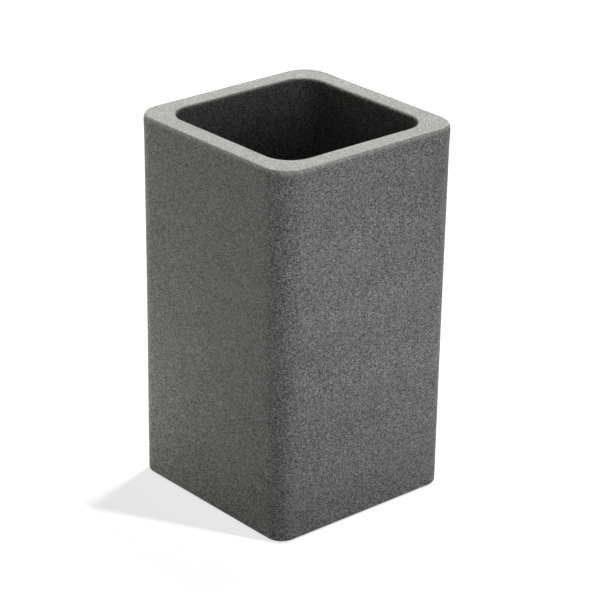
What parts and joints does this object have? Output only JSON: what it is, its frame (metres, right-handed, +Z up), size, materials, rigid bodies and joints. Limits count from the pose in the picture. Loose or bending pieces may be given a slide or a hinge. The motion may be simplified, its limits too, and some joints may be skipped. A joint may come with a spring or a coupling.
{
  "type": "toothbrush holder",
  "caption": "Tall square open-topped holder with rounded corners and thick cast walls, standing on round anti-slip feet, for toothbrushes and toothpaste.",
  "frame": {"origin": "middle of the plane that the feet stand on, on the tumbler's upright axis", "axes": "+Z up, out of the open mouth; the four flat side walls face +X, -X, +Y and -Y"},
  "size_m": [0.0702, 0.0702, 0.12],
  "materials": {
    "cast_stone_resin": "matte",
    "foot_rubber": "matte",
    "adhesive_film": "satin"
  },
  "bodies": {
    "root": {"cup_body": "cast_stone_resin", "foot_front_left": "foot_rubber", "foot_front_right": "foot_rubber", "foot_back_right": "foot_rubber", "foot_back_left": "foot_rubber", "adhesive_front_left": "adhesive_film", "adhesive_front_right": "adhesive_film", "adhesive_back_right": "adhesive_film", "adhesive_back_left": "adhesive_film"}
  },
  "joints": []
}
